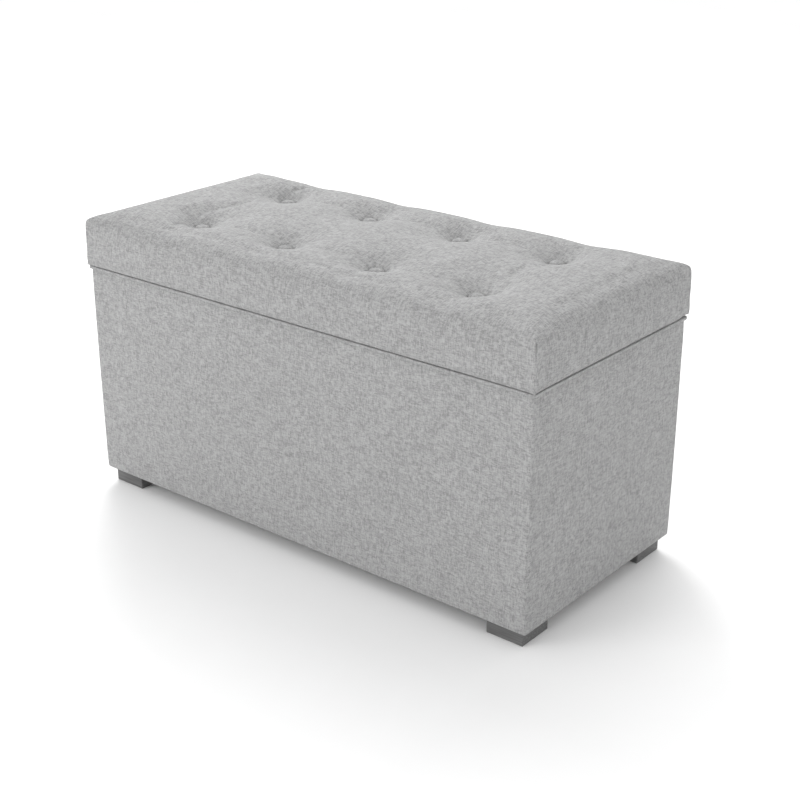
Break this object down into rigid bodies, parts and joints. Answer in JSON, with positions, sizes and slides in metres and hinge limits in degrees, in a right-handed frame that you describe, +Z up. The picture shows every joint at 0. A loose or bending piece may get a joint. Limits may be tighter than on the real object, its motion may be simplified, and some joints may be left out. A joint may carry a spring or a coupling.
{
  "type": "storage bench",
  "caption": "Rectangular fabric-covered storage bench on low block feet, with a button-tufted cushion lid hinged along the rear edge over a lined box.",
  "frame": {"origin": "on the floor, under the middle of the box's plan", "axes": "+X along the length to the right, -Y towards the front, +Z up"},
  "size_m": [0.914, 0.4165, 0.492],
  "materials": {
    "plywood": "raw plywood",
    "pine": "planed, unfinished",
    "foot_wood": "dark grey stain, matt lacquer",
    "cover_fabric": "heathered linen-look weave",
    "trim_fabric": "heathered linen-look weave",
    "lining_cloth": "needle-punched non-woven",
    "dust_cloth": "spun-bonded non-woven",
    "foam": "open-cell foam",
    "wadding": "polyester wadding",
    "twine": "waxed twine",
    "nylon": "moulded, satin",
    "staple_wire": "bright wire",
    "zinc_steel": "zinc plated",
    "yellow_zinc_steel": "yellow passivated zinc"
  },
  "bodies": {
    "box": {"back_panel": "plywood", "base_battens": "pine", "base_panel": "plywood", "box_cover": "cover_fabric", "box_lining": "lining_cloth", "box_padding": "foam", "carcass_screws": "yellow_zinc_steel", "corner_blocks": "pine", "dust_cover": "dust_cloth", "dust_cover_staples": "staple_wire", "foot_screws": "yellow_zinc_steel", "front_left_foot": "foot_wood", "front_panel": "plywood", "front_right_foot": "foot_wood", "hinge_box_screws": "zinc_steel", "hinge_pins": "zinc_steel", "left_hinge_box_leaf": "zinc_steel", "left_side_panel": "plywood", "left_stay_box_bracket": "zinc_steel", "left_stay_box_pivot": "zinc_steel", "left_stay_damper": "nylon", "middle_hinge_box_leaf": "zinc_steel", "rear_left_foot": "foot_wood", "rear_right_foot": "foot_wood", "right_hinge_box_leaf": "zinc_steel", "right_side_panel": "plywood", "right_stay_box_bracket": "zinc_steel", "right_stay_box_pivot": "zinc_steel", "right_stay_damper": "nylon", "stay_box_screws": "zinc_steel"},
    "lid": {"hinge_lid_screws": "zinc_steel", "left_hinge_lid_leaf": "zinc_steel", "left_stay_lid_bracket": "zinc_steel", "left_stay_lid_pivot": "zinc_steel", "lid_batting": "wadding", "lid_board": "plywood", "lid_cover": "cover_fabric", "lid_foam": "foam", "lid_lining": "lining_cloth", "lid_lining_staples": "staple_wire", "lid_welt": "trim_fabric", "middle_hinge_lid_leaf": "zinc_steel", "right_hinge_lid_leaf": "zinc_steel", "right_stay_lid_bracket": "zinc_steel", "right_stay_lid_pivot": "zinc_steel", "stay_lid_screws": "zinc_steel", "tuft_buttons": "trim_fabric", "tuft_cords": "twine", "tuft_toggles": "nylon"},
    "left_arm": {"left_stay_arm": "zinc_steel", "left_stay_elbow_rivet": "zinc_steel"},
    "right_arm": {"right_stay_arm": "zinc_steel", "right_stay_elbow_rivet": "zinc_steel"},
    "left_link": {"left_stay_link": "zinc_steel"},
    "right_link": {"right_stay_link": "zinc_steel"}
  },
  "joints": [
    {"name": "lid_hinge", "type": "hinge", "parent": "box", "child": "lid", "pos_m": [0, 0.2065, 0.4], "axis": [-1, 0, 0], "range_deg": [0, 90]},
    {"name": "left_stay_arm_pivot", "type": "hinge", "parent": "box", "child": "left_arm", "pos_m": [-0.41945, 0.1265, 0.31], "axis": [-1, 0, 0], "range_deg": [0, 90]},
    {"name": "left_stay_link_pivot", "type": "hinge", "parent": "lid", "child": "left_link", "pos_m": [-0.41645, 0.0765, 0.389], "axis": [-1, 0, 0], "range_deg": [-90, 0]},
    {"name": "right_stay_arm_pivot", "type": "hinge", "parent": "box", "child": "right_arm", "pos_m": [0.41945, 0.1265, 0.31], "axis": [-1, 0, 0], "range_deg": [0, 90]},
    {"name": "right_stay_link_pivot", "type": "hinge", "parent": "lid", "child": "right_link", "pos_m": [0.41645, 0.0765, 0.389], "axis": [-1, 0, 0], "range_deg": [-90, 0]}
  ],
  "couplings": [
    {"joint": "left_stay_arm_pivot", "follows": "lid_hinge", "ratio": 1},
    {"joint": "left_stay_link_pivot", "follows": "lid_hinge", "ratio": -1},
    {"joint": "right_stay_arm_pivot", "follows": "lid_hinge", "ratio": 1},
    {"joint": "right_stay_link_pivot", "follows": "lid_hinge", "ratio": -1}
  ]
}
